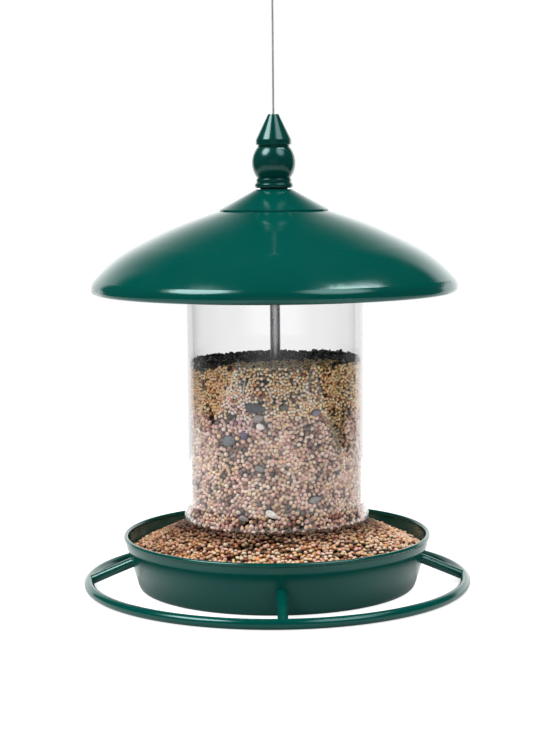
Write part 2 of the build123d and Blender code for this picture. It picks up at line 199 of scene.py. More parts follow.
def studioLevel(direction, look):
    # what gloss sees: the larger of sheet and camera's side, plus the patches
    x, y, z = axes(direction)
    outsideGap = larger(ramp(maths("ABSOLUTE", x), *look["gap"]), ramp(z, *look["gapLow"], 1.0, 0.0))
    sheet = product(
        ramp(z, *look["fade"], 1.0, 0.0),
        ramp(x, *look["sheetSpan"], look["sheetLeft"], look["sheetRight"]),
        ramp(along(direction, look["leftSlant"]), *look["leftEdge"]),
        ramp(along(direction, look["rightSlant"]), *look["rightEdge"], 1.0, 0.0),
        ramp(y, *look["sheetBack"]),
        ramp(x, *look["rightEnd"], 1.0, 0.0),
        outsideGap,
    )
    near = product(
        ramp(y, *look["cameraEdge"], look["dark"], look["byCamera"]),
        ramp(z, *look["cameraHigh"], 1.0, 0.0),
    )
    patches = [
        ramp(along(direction, patch["middle"]), *patch["edge"], 0.0, patch["level"])
        for patch in look["patches"]
    ]
    return added(larger(sheet, near), *patches)


def makeWorld(look):
    # white for the camera, the studio for gloss, its own levels through the clear tube, an even fill for matt
    data = bpy.data.worlds.new("studio")
    bpy.context.scene.world = data
    tree, out = emptyTree(data, "ShaderNodeOutputWorld")
    path = addNode(tree, "ShaderNodeLightPath")
    direction = addNode(tree, "ShaderNodeTexCoord").outputs["Generated"]
    x, y, z = axes(direction)
    behind = ramp(maths("ABSOLUTE", x), *look["throughEdge"], 1.0, look["throughSide"])
    front = product(
        ramp(y, *look["throughNear"], look["dark"], look["throughFront"]),
        ramp(z, *look["throughHigh"], 1.0, look["throughAbove"]),
    )
    through = chosen(ramp(y, *look["throughTurn"]), front, behind)
    fill = product(
        ramp(y, *look["fillSpan"], look["fillFront"], look["fillBack"]),
        ramp(z, 0.0, 1.0, look["fillLow"], look["fillHigh"]),
    )
    level = chosen(path.outputs["Is Glossy Ray"], fill, studioLevel(direction, look))
    level = chosen(path.outputs["Is Transmission Ray"], level, through)
    level = chosen(path.outputs["Is Camera Ray"], level, 1.0)
    back = addNode(tree, "ShaderNodeBackground", {"Color": (1, 1, 1, 1), "Strength": level})
    join(back.outputs[0], out.inputs[0])


table = {
    # corners of its top; the clear tube mirrors its slanted right-hand edge
    "outline": [
        (-1100, -980), (1150, -950), (890, -404), (747, -116), (568, 83),
        (520, 450), (-640, 450), (-670, 320), (-760, 0), (-1000, -400),
    ],
    "paint": 0.48, "cameraGlow": 0.74, "throughGlow": 0.12,
    # the glow that gloss sees of it, behind and beside the feeder, dark in a painted shadow under the tray;
    # pairs are in metres
    "backGloss": 0.35, "backEdge": (0.1, 0.6), "sideGloss": 0.36, "sideStart": (0.03, 0.1),
    "sideEnd": (0.2, 0.35), "shadowEdge": (0.09, 0.104),
}


def makeTable(look):
    # a flat white table top; it shines a little for the camera, so that it fades into the background
    mesh = bpy.data.meshes.new("table")
    mesh.from_pydata([(x * mm, y * mm, 0) for x, y in look["outline"]], [], [range(len(look["outline"]))])
    top = newObject("tableTop", mesh)
    paint = bpy.data.materials.new("whiteTable")
    tree, out = emptyTree(paint, "ShaderNodeOutputMaterial")
    path = addNode(tree, "ShaderNodeLightPath")
    matt = addNode(tree, "ShaderNodeBsdfDiffuse", {"Color": (look["paint"], look["paint"], look["paint"], 1)})
    place = addNode(tree, "ShaderNodeTexCoord").outputs["Object"]
    x, y, _ = axes(place)
    away = maths("ABSOLUTE", x)
    middle = addNode(tree, "ShaderNodeVectorMath", {0: place}, operation="LENGTH")
    behind = ramp(y, *look["backEdge"], 0.0, look["backGloss"])
    beside = product(ramp(away, *look["sideStart"]), ramp(away, *look["sideEnd"], 1, 0), look["sideGloss"])
    inLight = ramp(middle.outputs["Value"], *look["shadowEdge"])
    strength = added(
        product(path.outputs["Is Camera Ray"], look["cameraGlow"]),
        product(path.outputs["Is Transmission Ray"], look["throughGlow"]),
        product(added(behind, beside), inLight, path.outputs["Is Glossy Ray"]),
    )
    glow = addNode(tree, "ShaderNodeEmission", {"Strength": strength})
    both = addNode(tree, "ShaderNodeAddShader", {0: matt.outputs[0], 1: glow.outputs[0]})
    join(both.outputs[0], out.inputs[0])
    mesh.materials.append(paint)


makeCamera(cameraPlace)
for lampName, lampLook in lamps.items():
    makeLamp(lampName, lampLook)
makeWorld(world)
makeTable(table)
bpy.context.scene.view_settings.view_transform = "Standard"
print("camera, lamps and table set")

# twist is in radians a metre
wire = {"radius": 0.6, "strands": 7, "twist": 900, "strandDepth": 0.35}
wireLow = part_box("hanging_wire")[0].z
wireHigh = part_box("hanging_wire")[1].z


def makeWire(look):
    # a straight round bar along the wire's own line; its points carry the radius, which keeps its box tight
    line = bpy.data.curves.new("wire", "CURVE")
    line.dimensions = "3D"
    line.bevel_depth = 1
    line.bevel_resolution = 4
    line.use_fill_caps = True
    spline = line.splines.new("NURBS")
    spline.points.add(1)
    spline.points[0].co = (0, 0, wireLow, 1)
    spline.points[1].co = (0, 0, wireHigh, 1)
    for point in spline.points:
        point.radius = look["radius"] * mm
    spline.order_u = 3
    spline.use_endpoint_u = True
    return newObject("hangingWire", line)


hangingWire = makeWire(wire)
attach(hangingWire, "feeder")
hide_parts("hanging_wire")
print("wire made")


def makeGroup(name, inputs, output):
    # an empty node group with its sockets, and its two end nodes
    group = bpy.data.node_groups.new(name, "ShaderNodeTree")
    for label, value in inputs.items():
        socket = group.interface.new_socket(label, in_out="INPUT", socket_type="NodeSocketFloat")
        socket.default_value = value
    group.interface.new_socket(output, in_out="OUTPUT", socket_type="NodeSocketFloat")
    return group, group.nodes.new("NodeGroupInput"), group.nodes.new("NodeGroupOutput")


noiseLook = {"detail": 4, "low": 0.3, "high": 0.7}


def softNoiseGroup(look):
    # noise on the piece's own coordinates, stretched from its usual span to two levels
    group, start, end = makeGroup("softNoise", {"Scale": 100.0, "Low": 0.0, "High": 1.0}, "Value")
    place = addNode(group, "ShaderNodeTexCoord").outputs["Object"]
    inputs = {"Vector": place, "Scale": start.outputs["Scale"], "Detail": look["detail"]}
    noise = addNode(group, "ShaderNodeTexNoise", inputs).outputs[0]
    levels = {
        "Value": noise, "From Min": look["low"], "From Max": look["high"],
        "To Min": start.outputs["Low"], "To Max": start.outputs["High"],
    }
    join(addNode(group, "ShaderNodeMapRange", levels).outputs[0], end.inputs["Value"])
    return group


def specksGroup():
    # small round specks, where the distance to the nearest of many scattered points is under a size
    group, start, end = makeGroup("specks", {"Scale": 300.0, "Size": 0.12}, "Mask")
    place = addNode(group, "ShaderNodeTexCoord").outputs["Object"]
    cells = addNode(group, "ShaderNodeTexVoronoi", {"Vector": place, "Scale": start.outputs["Scale"]})
    join(maths("LESS_THAN", cells.outputs["Distance"], start.outputs["Size"]), end.inputs["Mask"])
    return group


softNoise = softNoiseGroup(noiseLook)
specks = specksGroup()


def useGroup(tree, group, **levels):
    # the output of a shared effect, with its levels set
    return addNode(tree, "ShaderNodeGroup", levels, node_tree=group).outputs[0]


def newMaterial(name):
    # a material with only a Principled shader
    material = bpy.data.materials.new(name)
    tree, out = emptyTree(material, "ShaderNodeOutputMaterial")
    shader = addNode(tree, "ShaderNodeBsdfPrincipled")
    join(shader.outputs[0], out.inputs[0])
    return material, tree, shader, out


def mixColours(factor, first, second):
    # the first colour where the factor is 0, and the second where it is 1
    colours = [(*colour, 1) if isinstance(colour, tuple) else colour for colour in (first, second)]
    inputs = {0: factor, 6: colours[0], 7: colours[1]}
    return addNode(factor.id_data, "ShaderNodeMix", inputs, data_type="RGBA").outputs[2]


def roughen(shader, scale, low, high):
    # roughness as soft noise between two levels
    join(useGroup(shader.id_data, softNoise, Scale=scale, Low=low, High=high), shader.inputs["Roughness"])


def paintClouds(shader, scale, first, second):
    # a base colour that goes from one colour to another in soft clouds
    clouds = useGroup(shader.id_data, softNoise, Scale=scale, Low=0, High=1)
    join(mixColours(clouds, first, second), shader.inputs["Base Color"])


def bumpFrom(height, strength, distance):
    # a normal that follows a height, where a height of 1 stands for the distance
    inputs = {"Height": height, "Strength": strength, "Distance": distance * mm}
    return addNode(height.id_data, "ShaderNodeBump", inputs).outputs[0]


# rough, smear and mottle are the scale of a noise and its two levels
enamel = {
    "green": (0.0, 0.062, 0.050), "deepGreen": (0.0, 0.057, 0.0455), "cloudScale": 25,
    "rough": (60, 0.1, 0.14), "peelScale": 420, "peelDepth": 0.004, "bend": 1.5,
    "gloss": (0.68, 1.0, 0.98, 1),
}
# the finial's enamel is rougher, and its darker green is painted shade on the roof's same paint
finialEnamel = {
    **enamel,
    "green": (0.0, 0.043, 0.035), "deepGreen": (0.0, 0.038, 0.031), "rough": (60, 0.14, 0.2),
}


def enamelMaterial(name, look):
    # glossy enamel: two close greens in soft clouds, and a faint orange peel
    material, tree, shader, _ = newMaterial(name)
    paintClouds(shader, look["cloudScale"], look["green"], look["deepGreen"])
    roughen(shader, *look["rough"])
    peel = useGroup(tree, softNoise, Scale=look["peelScale"], Low=0, High=1)
    join(bumpFrom(peel, 1.0, look["peelDepth"]), shader.inputs["Normal"])
    shader.inputs["IOR"].default_value = look["bend"]
    shader.inputs["Specular Tint"].default_value = look["gloss"]
    return material


steel = {
    "zincPlate": {"light": (0.62, 0.63, 0.65), "dark": (0.48, 0.49, 0.50), "low": 0.28, "high": 0.42},
    "rodSteel": {"light": (0.47, 0.47, 0.48), "dark": (0.37, 0.37, 0.38), "low": 0.22, "high": 0.34},
    "wireSteel": {"light": (0.72, 0.72, 0.73), "dark": (0.55, 0.55, 0.56), "low": 0.55, "high": 0.7},
    "ferruleMetal": {"light": (0.70, 0.71, 0.72), "dark": (0.55, 0.56, 0.57), "low": 0.35, "high": 0.5},
}
scratch = {"stretch": (900, 900, 60), "detail": 3.0, "strength": 0.3, "depth": 0.01, "roughScale": 150}


def steelMaterial(name, look):
    # bare metal with fine upright scratches, as noise that is stretched along the height
    material, tree, shader, _ = newMaterial(name)
    shader.inputs["Metallic"].default_value = 1
    place = addNode(tree, "ShaderNodeTexCoord").outputs["Object"]
    stretched = addNode(tree, "ShaderNodeMapping", {"Vector": place, "Scale": scratch["stretch"]}).outputs[0]
    inputs = {"Vector": stretched, "Scale": 1.0, "Detail": scratch["detail"]}
    noise = addNode(tree, "ShaderNodeTexNoise", inputs).outputs[0]
    join(mixColours(noise, look["dark"], look["light"]), shader.inputs["Base Color"])
    roughen(shader, scratch["roughScale"], look["low"], look["high"])
    join(bumpFrom(noise, scratch["strength"], scratch["depth"]), shader.inputs["Normal"])
    return material


def wireMaterial(name, look, lay):
    # twisted strands: bump = |sin(strands / 2 * angle + twist * height)|
    material = steelMaterial(name, look)
    tree = material.node_tree
    shader = next(node for node in tree.nodes if node.type == "BSDF_PRINCIPLED")
    x, y, z = axes(addNode(tree, "ShaderNodeTexCoord").outputs["Object"])
    rise = maths("MULTIPLY", z, lay["twist"])
    phase = maths("MULTIPLY_ADD", maths("ARCTAN2", y, x), lay["strands"] / 2, rise)
    ridge = maths("ABSOLUTE", maths("SINE", phase))
    join(bumpFrom(ridge, 1.0, lay["strandDepth"]), shader.inputs["Normal"])
    return material


rubber = {
    "grey": (0.018, 0.018, 0.019), "dusty": (0.045, 0.045, 0.045), "dustScale": 300,
    "rough": (200, 0.6, 0.85),
}


def rubberMaterial(look):
    # matt black with dust in soft clouds
    material, _, shader, _ = newMaterial("blackRubber")
    paintClouds(shader, look["dustScale"], look["grey"], look["dusty"])
    roughen(shader, *look["rough"])
    return material


greenEnamel = enamelMaterial("greenEnamel", enamel)
shadedFinialEnamel = enamelMaterial("shadedFinialEnamel", finialEnamel)
zincPlate = steelMaterial("zincPlate", steel["zincPlate"])
rodSteel = steelMaterial("rodSteel", steel["rodSteel"])
ferruleMetal = steelMaterial("ferruleMetal", steel["ferruleMetal"])
wireSteel = wireMaterial("wireSteel", steel["wireSteel"], wire)
blackRubber = rubberMaterial(rubber)

finishes = (
    (greenEnamel, ("tray", "perch_ring", "perch_arms", "roof_shell", "roof_cap", "guide_ring")),
    (shadedFinialEnamel, ("finial",)),
    (zincPlate, ("base_washer", "base_nut", "spacer_sleeve", "tube_carrier")),
    (zincPlate, ("roof_washer", "roof_nut", "hollow_stud")),
    (rodSteel, ("center_rod",)),
    (ferruleMetal, ("wire_stop", "wire_ferrule")),
    (wireSteel, ("inner_wire", "wire_loop")),
    (blackRubber, ("finial_washer",)),
)
for finish, names in finishes:
    for name in names:
        nodes[name].data.materials.clear()
        nodes[name].data.materials.append(finish)
hangingWire.data.materials.append(wireSteel)
print("metal finished")


def newPiece(name, points, faces, material, body="feeder"):
    # a mesh from an array of points and an array of faces with the same number of corners
    mesh = bpy.data.meshes.new(name)
    mesh.vertices.add(len(points))
    mesh.vertices.foreach_set("co", np.ascontiguousarray(points, np.float32).ravel())
    corners = faces.shape[1]
    mesh.loops.add(faces.size)
    mesh.loops.foreach_set("vertex_index", np.ascontiguousarray(faces, np.int32).ravel())
    mesh.polygons.add(len(faces))
    mesh.polygons.foreach_set("loop_start", np.arange(0, faces.size, corners, dtype=np.int32))
    mesh.update(calc_edges=True)
    mesh.polygons.foreach_set("use_smooth", np.ones(len(faces), bool))
    mesh.materials.append(material)
    piece = newObject(name, mesh)
    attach(piece, body)
    return piece


def roundedProfile(corners, steps=10, support=0.35):
    # closed outline of (radius, height, rounding) corners; each rounding is an arc that touches both sides:
    # its ends lie rounding / tan(half the corner's angle) from the corner, and two points steady each run
    points = []
    count = len(corners)
    for index, (radius, height, rounding) in enumerate(corners):
        here = np.array((radius, height), float)
        before = np.array(corners[index - 1][:2], float) - here
        after = np.array(corners[(index + 1) % count][:2], float) - here
        before /= np.hypot(*before)
        after /= np.hypot(*after)
        half = np.arccos(np.clip(before @ after, -1, 1)) / 2
        reach = rounding / np.tan(half)
        bisector = (before + after) / np.hypot(*(before + after))
        centre = here + bisector * rounding / np.sin(half)
        first = here + before * reach - centre
        last = here + after * reach - centre
        share = np.linspace(0, 1, steps)[:, None]
        turn = np.pi - 2 * half
        arc = (np.sin((1 - share) * turn) * first + np.sin(share * turn) * last) / np.sin(turn) + centre
        points.append((here + before * (reach + support))[None])
        points.append(arc)
        points.append((here + after * (reach + support))[None])
    return np.concatenate(points)


def turnedSurface(name, profile, segments, material):
    # x = r cos(a), y = r sin(a), z = h for each point (r, h) of a closed outline and each angle a
    angle = np.linspace(0, 2 * np.pi, segments, endpoint=False)
    r = profile[:, 0][:, None] * mm
    h = profile[:, 1][:, None] * mm
    points = np.stack([r * np.cos(angle), r * np.sin(angle), h + 0 * angle], -1).reshape(-1, 3)
    rows = len(profile)
    i, j = np.meshgrid(np.arange(rows), np.arange(segments), indexing="ij")
    below = i * segments + j
    beside = i * segments + (j + 1) % segments
    above = (i + 1) % rows * segments + j
    across = (i + 1) % rows * segments + (j + 1) % segments
    following = np.roll(profile, -1, 0)
    area = np.sum(profile[:, 0] * following[:, 1] - following[:, 0] * profile[:, 1])
    order = (below, beside, across, above) if area > 0 else (below, above, across, beside)
    faces = np.stack(order, -1).reshape(-1, 4)
    return newPiece(name, points, faces, material)


tube = {
    "radius": 55.4, "wall": 1.5, "foot": 43.6, "top": 224.6, "flare": 58.0, "flareHigh": 9.0,
    "flareBand": 3.0, "bend": 5.0, "innerEdge": 0.3, "outerEdge": 0.6, "segments": 240,
}
plastic = {
    "tint": (0.985, 0.985, 0.99, 1), "bend": 1.46, "sheen": 0.05, "sheenRough": 0.35,
    "smear": (18, 0, 0.035),
}


def plasticMaterial(look):
    # clear plastic: real glass for sight, and see-through for lamps so that the seed is lit
    material, tree, shader, out = newMaterial("clearPlastic")
    shader.inputs["Transmission Weight"].default_value = 1
    shader.inputs["IOR"].default_value = look["bend"]
    shader.inputs["Sheen Weight"].default_value = look["sheen"]
    shader.inputs["Sheen Roughness"].default_value = look["sheenRough"]
    shader.inputs["Base Color"].default_value = look["tint"]
    roughen(shader, *look["smear"])
    clear = addNode(tree, "ShaderNodeBsdfTransparent")
    path = addNode(tree, "ShaderNodeLightPath")
    seeThrough = larger(path.outputs["Is Shadow Ray"], path.outputs["Is Diffuse Ray"])
    mix = addNode(tree, "ShaderNodeMixShader", {0: seeThrough, 1: shader.outputs[0], 2: clear.outputs[0]})
    join(mix.outputs[0], out.inputs[0])
    return material


def tubeOutline(look):
    # down the inside, round the foot's rim and up the outside
    inner = look["radius"] - look["wall"]
    flareInner = look["flare"] - look["wall"]
    band = look["foot"] + look["flareBand"]
    neck = look["foot"] + look["flareHigh"]
    return [
        (inner, look["top"], look["innerEdge"]),
        (inner, neck, look["bend"] + look["wall"]),
        (flareInner, band, look["bend"]),
        (flareInner, look["foot"], look["innerEdge"]),
        (look["flare"], look["foot"], look["outerEdge"]),
        (look["flare"], band, look["bend"]),
        (look["radius"], neck, look["bend"]),
        (look["radius"], look["top"], look["outerEdge"]),
    ]


clearPlastic = plasticMaterial(plastic)
tubeProfile = roundedProfile(tubeOutline(tube))
clearTube = turnedSurface("clearTube", tubeProfile, tube["segments"], clearPlastic)
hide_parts("seed_tube")
print("tube made")

# each kind: length, width and thickness in millimetres, colour, share of the mix
upperMix = {
    "goldMillet": (2.6, 2.3, 2.0, (1.00, 0.70, 0.39), 0.37),
    "paleMillet": (2.5, 2.3, 2.0, (1.00, 0.82, 0.62), 0.41),
    "brownMillet": (2.6, 2.2, 2.0, (0.74, 0.37, 0.17), 0.11),
    "redMillet": (2.4, 2.1, 1.9, (0.40, 0.15, 0.07), 0.05),
    "longSeed": (4.0, 1.6, 1.5, (0.92, 0.68, 0.42), 0.05),
    "darkSeed": (2.5, 1.9, 1.7, (0.06, 0.04, 0.03), 0.02),
}
lowerMix = {
    "pinkMilo": (3.4, 3.1, 2.7, (0.76, 0.48, 0.38), 0.32),
    "paleMilo": (3.3, 3.1, 2.7, (1.00, 0.77, 0.63), 0.25),
    "beigeMilo": (3.4, 3.0, 2.7, (0.78, 0.52, 0.33), 0.20),
    "brownMilo": (3.2, 2.9, 2.6, (0.40, 0.20, 0.16), 0.16),
    "longSeed": (5.0, 2.2, 1.9, (0.74, 0.54, 0.40), 0.03),
    "greySeed": (3.2, 2.6, 2.2, (0.18, 0.14, 0.13), 0.04),
}
trayMix = {
    "goldMilo": (3.5, 2.9, 2.5, (0.88, 0.60, 0.34), 0.32),
    "paleMilo": (3.4, 2.9, 2.5, (1.00, 0.82, 0.60), 0.27),
    "orangeMilo": (3.4, 2.8, 2.5, (0.62, 0.30, 0.13), 0.14),
    "pinkMilo": (3.5, 2.9, 2.5, (0.84, 0.52, 0.41), 0.14),
    "redMilo": (3.2, 2.7, 2.4, (0.32, 0.11, 0.05), 0.10),
    "darkSeed": (3.2, 2.3, 2.0, (0.06, 0.04, 0.03), 0.03),
}
blackMix = {
    "roundBlack": (2.6, 2.2, 2.0, (0.04, 0.036, 0.035), 0.5),
    "greyBlack": (2.5, 2.1, 1.9, (0.27, 0.25, 0.23), 0.28),
    "longBlack": (3.6, 1.7, 1.5, (0.10, 0.09, 0.085), 0.22),
}
heap = {
    "upperSpacing": 2.2, "lowerSpacing": 2.8, "traySpacing": 2.75, "packing": 0.93, "rounds": 14,
    "perCell": 5, "step": 0.7,
    # how deep the outer layer and the one behind it lie, and the painted shade that darkens the one behind
    "upperDepths": (0.0, 1.7), "lowerDepths": (0.0, 2.1), "topDepths": (0.0, 1.5),
    "trayDepths": (0.0, 1.9), "secondShade": 0.4,
    # one grain: its mesh, how it varies, and the painted shade that darkens its colour towards its sides
    "rings": 3, "turnsPerRing": 6, "pointed": 0.18, "tilt": 0.55, "sizeScatter": 0.07,
    "shadeScatter": 0.14, "tintScatter": 0.04, "lightest": 0.96, "gapShade": 0.12,
    "lit": (-0.15, 0.55),
}
column = {
    "inner": 53.9, "clearance": 0.3, "low": 43.9, "lowReach": 0.4, "top": 143.6, "topGap": 1.0,
    "change": 112.0, "scatter": 0.5, "flare": 2.6, "flareTop": 53.0, "flareCurve": 0.7,
    # the round top of the seed
    "slope": 1.5, "rimGap": 1.2, "rodGap": 4.6, "topSink": 1.6, "topScatter": 1.1,
}
bed = {
    "footRadius": 58.3, "footHeight": 43.9, "wallRadius": 94.2, "wallHeight": 27.6,
    "underFoot": 49.0, "floorRadius": 85.7, "taper": 17.0, "margin": 1.5, "backDrop": 4.6,
    "backSpan": (-35, 15), "sink": 0.9, "scatter": 0.6,
}
rng = np.random.default_rng(7)


def spreadOut(points, spacing, low, high, wrap):
    # each point moves away from those nearer than the spacing, by half of what is missing, over and over
    extent = high - low
    cells = np.maximum((extent / spacing).astype(int), 3)
    cell = extent / cells
    everyone = np.arange(len(points))
    for _ in range(heap["rounds"]):
        at = np.clip(((points - low) / cell).astype(int), 0, cells - 1)
        key = at[:, 0] * cells[1] + at[:, 1]
        order = np.argsort(key, kind="stable")
        inOrder = key[order]
        rank = everyone - np.searchsorted(inOrder, inOrder)
        slots = np.full((cells[0] * cells[1], heap["perCell"]), -1)
        fits = rank < heap["perCell"]
        slots[inOrder[fits], rank[fits]] = order[fits]
        shift = np.zeros_like(points)
        for right in (-1, 0, 1):
            for up in (-1, 0, 1):
                x, y = (at + (right, up)).T
                inside = (y >= 0) & (y < cells[1]) & (wrap | ((x >= 0) & (x < cells[0])))
                near = slots[(x % cells[0]) * cells[1] + np.clip(y, 0, cells[1] - 1)]
                gap = points[:, None] - points[near]
                if wrap:
                    gap[..., 0] -= extent[0] * np.round(gap[..., 0] / extent[0])
                distance = np.hypot(gap[..., 0], gap[..., 1])
                counts = inside[:, None] & (near >= 0) & (near != everyone[:, None]) & (distance < spacing)
                push = np.where(counts, (spacing - distance) / 2 / np.maximum(distance, 1e-6), 0)
                shift += (gap * push[..., None]).sum(1)
        points = points + heap["step"] * shift
        if wrap:
            points[:, 0] = low[0] + (points[:, 0] - low[0]) % extent[0]
        points = np.clip(points, low, high)
    return points


def grainShape(rings, turns):
    # a ball of unit radius, slightly pointed at one end: rings of points between two poles
    polar = np.linspace(0, np.pi, rings + 2)[1:-1]
    turn = np.linspace(0, 2 * np.pi, turns, endpoint=False)
    p, t = np.meshgrid(polar, turn, indexing="ij")
    wide = np.sin(p) * (1 - heap["pointed"] * np.cos(p))
    body = np.stack([np.cos(p), wide * np.cos(t), wide * np.sin(t)], -1).reshape(-1, 3)
    points = np.concatenate([[[1, 0, 0]], body, [[-1, 0, 0]]])
    j = np.arange(turns)
    following = (j + 1) % turns
    faces = [np.stack([0 * j, 1 + j, 1 + following], -1)]
    for ring in range(rings - 1):
        here = 1 + ring * turns
        after = here + turns
        faces.append(np.stack([here + j, after + j, after + following], -1))
        faces.append(np.stack([here + j, after + following, here + following], -1))
    last = 1 + rings * turns
    faces.append(np.stack([last + 0 * j, last - turns + following, last - turns + j], -1))
    return points, np.concatenate(faces)


unitGrain, unitFaces = grainShape(heap["rings"], heap["turnsPerRing"])


def turnsFor(outward):
    # a random frame for each grain: its thin side faces outward, leaning by a random share of the tilt
    thin = outward + heap["tilt"] * rng.normal(size=outward.shape)
    thin /= np.linalg.norm(thin, axis=1)[:, None]
    side = np.cross(thin, rng.normal(size=outward.shape))
    side /= np.linalg.norm(side, axis=1)[:, None]
    return np.stack([side, np.cross(thin, side), thin], -1)


def smooth(value, start, end):
    # 0 up to the start and 1 from the end on, with a smooth step between them
    share = np.clip((value - start) / (end - start), 0, 1)
    return share * share * (3 - 2 * share)


def colourPoints(piece, colours):
    # keeps a colour on each point, for the seed's material to read
    values = np.ones((len(colours), 4), np.float32)
    values[:, :3] = colours
    attribute = piece.data.attributes.new("grainColour", "FLOAT_COLOR", "POINT")
    attribute.data.foreach_set("color", values.ravel())


def grainsMesh(name, layer, mix, material):
    # one stretched and turned grain at each centre; its points are darker the less far outward they lie from
    # its middle, as painted shade where the next grains shade it
    centres, outward, level = layer
    count = len(centres)
    kinds = list(mix.values())
    shares = np.array([kind[4] for kind in kinds])
    pick = rng.choice(len(kinds), size=count, p=shares / shares.sum())
    halves = np.array([kind[:3] for kind in kinds])[pick] / 2 * rng.normal(1, heap["sizeScatter"], (count, 1))
    tint = np.array([kind[3] for kind in kinds])[pick] * rng.lognormal(0, heap["shadeScatter"], (count, 1))
    tint = tint * rng.normal(1, heap["tintScatter"], (count, 3)) * level
    tint = tint / np.maximum(1, tint.max(axis=1, keepdims=True) / heap["lightest"])
    shaped = np.einsum("nij,nvj->nvi", turnsFor(outward), unitGrain[None] * halves[:, None])
    points = (shaped + centres[:, None]) * mm
    faces = (unitFaces[None] + (np.arange(count) * len(unitGrain))[:, None, None]).reshape(-1, 3)
    piece = newPiece(name, points.reshape(-1, 3), faces, material)
    lift = np.einsum("nvi,ni->nv", shaped, outward) / halves[:, 2:]
    shade = heap["gapShade"] + (1 - heap["gapShade"]) * smooth(lift, *heap["lit"])
    colourPoints(piece, (tint[:, None] * shade[..., None]).reshape(-1, 3))
    return piece


seedLook = {
    "mottle": (900, 0.72, 1.12), "speckScale": 620, "speckSize": 0.16, "speck": (0.09, 0.05, 0.03),
    "roughScale": 700, "roughBelow": 0.08, "roughAbove": 0.1, "specular": 0.3,
}


def seedMaterial(name, roughness, look):
    # each grain's own colour, mottled by noise, with a few dark specks
    material, tree, shader, _ = newMaterial(name)
    own = addNode(tree, "ShaderNodeAttribute", attribute_name="grainColour")
    scale, low, high = look["mottle"]
    mottle = useGroup(tree, softNoise, Scale=scale, Low=low, High=high)
    parts = {0: own.outputs["Color"], "Scale": mottle}
    shade = addNode(tree, "ShaderNodeVectorMath", parts, operation="SCALE")
    spots = useGroup(tree, specks, Scale=look["speckScale"], Size=look["speckSize"])
    join(mixColours(spots, shade.outputs[0], look["speck"]), shader.inputs["Base Color"])
    roughen(shader, look["roughScale"], roughness - look["roughBelow"], roughness + look["roughAbove"])
    shader.inputs["Specular IOR Level"].default_value = look["specular"]
    return material


mixedSeed = seedMaterial("mixedSeed", 0.45, seedLook)
blackSeed = seedMaterial("blackSeed", 0.5, seedLook)


def spread(low, high, spacing, wrap):
    # random points over an oblong, pushed apart
    low = np.array(low, float)
    high = np.array(high, float)
    count = int(np.prod(high - low) / (heap["packing"] * spacing**2))
    return spreadOut(rng.uniform(low, high, (count, 2)), spacing, low, high, wrap)


def columnLayer(low, high, spacing, depth):
    # points spread on the tube's wall as (arc length, height), turned into places on a cylinder that widens
    # with the tube's foot
    radius = column["inner"] - column["clearance"] - depth
    places = spread([0, low], [2 * np.pi * radius, high], spacing, True)
    angle = places[:, 0] / radius
    widen = np.clip((column["flareTop"] - places[:, 1]) / (column["flareTop"] - column["low"]), 0, 1)
    out = radius - spacing / 2 - rng.uniform(0, column["scatter"], len(places))
    out = out + column["flare"] * widen ** column["flareCurve"]
    centres = np.stack([out * np.cos(angle), out * np.sin(angle), places[:, 1]], -1)
    return centres, np.stack([np.cos(angle), np.sin(angle), 0 * angle], -1)


ripples = {"broad": 0.6, "broadX": 9, "broadY": 11, "fine": 0.4, "fineX": 4.3, "fineY": 5.1}


def ripple(x, y):
    # a soft uneven height, as the sum of a broad and a fine wave
    broad = ripples["broad"] * np.sin(x / ripples["broadX"]) * np.cos(y / ripples["broadY"])
    return broad + ripples["fine"] * np.sin(x / ripples["fineX"] + 1) * np.sin(y / ripples["fineY"])


def topLayer(depth):
    # points spread over the round top of the seed, which lies a little higher on the right
    reach = column["inner"] - column["clearance"] - column["rimGap"]
    places = spread([-reach, -reach], [reach, reach], heap["upperSpacing"], False)
    radius = np.hypot(places[:, 0], places[:, 1])
    x, y = places[(radius < reach) & (radius > column["rodGap"])].T
    scatter = rng.uniform(-column["topScatter"], column["topScatter"], len(x))
    height = column["top"] - column["topSink"] - depth + column["slope"] * x / reach + ripple(x, y) + scatter
    return np.stack([x, y, height], -1), np.tile([0.0, 0.0, 1.0], (len(x), 1))


# where the black seed ends: a bowed and wavy line over the top, and a height on the wall that rises in front
blackEdge = {
    "rim": 3.5, "middle": -10, "bow": 0.0085, "wave": 5, "waveShort": 6, "waveLong": 13,
    "topScatter": 3, "frontStart": 0.55, "frontSpan": 0.4, "frontRise": 4.5, "wallDepth": 2.8,
    "wallWave": 3.1, "wallScatter": 0.5,
}


def isBlack(centres, look):
    # black seed covers the back of the top and the upper edge of the wall at both sides
    x, y, z = centres.T
    onTop = np.hypot(x, y) < column["inner"] - look["rim"]
    wave = look["wave"] * np.sin(x / look["waveShort"]) * np.cos(x / look["waveLong"] + 1)
    edge = look["middle"] - look["bow"] * x**2 + wave
    front = np.clip((-y / column["inner"] - look["frontStart"]) / look["frontSpan"], 0, 1)
    wallEdge = column["top"] - look["wallDepth"] + look["frontRise"] * front
    wallEdge = wallEdge + column["slope"] * x / column["inner"] + np.sin(x / look["wallWave"])
    behindEdge = y + rng.normal(0, look["topScatter"], len(x)) > edge
    aboveEdge = z + rng.normal(0, look["wallScatter"], len(x)) > wallEdge
    return np.where(onTop, behindEdge, aboveEdge)


def bedHeight(x, y):
    # a straight slope from the tube's foot down to the tray's wall, lower at the back and at both ends
    radius = np.hypot(x, y)
    share = (radius - bed["footRadius"]) / (bed["wallRadius"] - bed["footRadius"])
    height = bed["footHeight"] + np.maximum(share, 0) * (bed["wallHeight"] - bed["footHeight"])
    sunk = bed["backDrop"] * smooth(y, *bed["backSpan"]) * smooth(radius, bed["underFoot"], bed["footRadius"])
    return height - sunk


